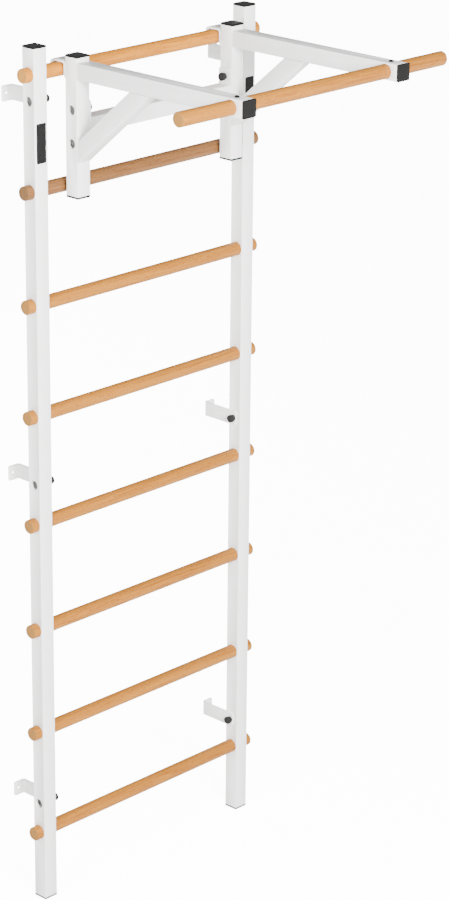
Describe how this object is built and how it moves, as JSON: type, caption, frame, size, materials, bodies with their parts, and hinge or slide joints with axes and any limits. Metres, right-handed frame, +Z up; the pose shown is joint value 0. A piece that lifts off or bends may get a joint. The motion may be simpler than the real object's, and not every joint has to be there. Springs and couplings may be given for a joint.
{
  "type": "wall bars",
  "caption": "White steel wall bars with round beech rungs, wall brackets and a pull-up bar frame that hooks over the top rung.",
  "frame": {"origin": "on the floor at the wall plane, midway between the two uprights", "axes": "+Z up along the uprights, +Y into the wall, so the pull-up bar is out at -Y, +X along the rungs to the right of someone facing the wall"},
  "size_m": [0.884, 0.702, 2.2],
  "materials": {
    "white_steel": "satin powder coat",
    "beech": "clear lacquer",
    "black_plastic": "fine moulded",
    "black_rubber": "matte",
    "zinc_steel": "zinc plated"
  },
  "bodies": {
    "wall_bars": {"upright_left": "white_steel", "upright_right": "white_steel", "upright_cap_left": "black_plastic", "upright_cap_right": "black_plastic", "foot_cap_left": "black_plastic", "foot_cap_right": "black_plastic", "rung_1": "beech", "rung_2": "beech", "rung_3": "beech", "rung_4": "beech", "rung_5": "beech", "rung_6": "beech", "rung_7": "beech", "rung_8": "beech", "wall_bracket_left_low": "white_steel", "wall_bracket_left_middle": "white_steel", "wall_bracket_left_top": "white_steel", "wall_bracket_right_low": "white_steel", "wall_bracket_right_middle": "white_steel", "wall_bracket_right_top": "white_steel", "bracket_bolt_left_low": "zinc_steel", "bracket_bolt_left_middle": "zinc_steel", "bracket_bolt_left_top": "zinc_steel", "bracket_bolt_right_low": "zinc_steel", "bracket_bolt_right_middle": "zinc_steel", "bracket_bolt_right_top": "zinc_steel", "bracket_knob_left_low": "black_plastic", "bracket_knob_left_middle": "black_plastic", "bracket_knob_left_top": "black_plastic", "bracket_knob_right_low": "black_plastic", "bracket_knob_right_middle": "black_plastic", "bracket_knob_right_top": "black_plastic"},
    "pull_up_frame": {"frame_tube_left": "white_steel", "frame_tube_right": "white_steel", "frame_cap_left": "black_plastic", "frame_cap_right": "black_plastic", "frame_foot_cap_left": "black_plastic", "frame_foot_cap_right": "black_plastic", "arm_left": "white_steel", "arm_right": "white_steel", "arm_cap_left": "black_plastic", "arm_cap_right": "black_plastic", "bar_screw_left": "black_plastic", "bar_screw_right": "black_plastic", "pull_up_bar": "beech", "brace_left": "white_steel", "brace_right": "white_steel", "crossbar": "white_steel", "crossbar_bolt_left_lower": "zinc_steel", "crossbar_bolt_left_upper": "zinc_steel", "crossbar_bolt_right_lower": "zinc_steel", "crossbar_bolt_right_upper": "zinc_steel", "crossbar_knob_left_lower": "black_plastic", "crossbar_knob_left_upper": "black_plastic", "crossbar_knob_right_lower": "black_plastic", "crossbar_knob_right_upper": "black_plastic", "hook_left": "white_steel", "hook_right": "white_steel", "buffer_left": "black_rubber", "buffer_right": "black_rubber"}
  },
  "joints": [
    {"name": "frame_lift", "type": "slide", "parent": "wall_bars", "child": "pull_up_frame", "axis": [0, 0, 1], "range_m": [0, 0.024]}
  ]
}
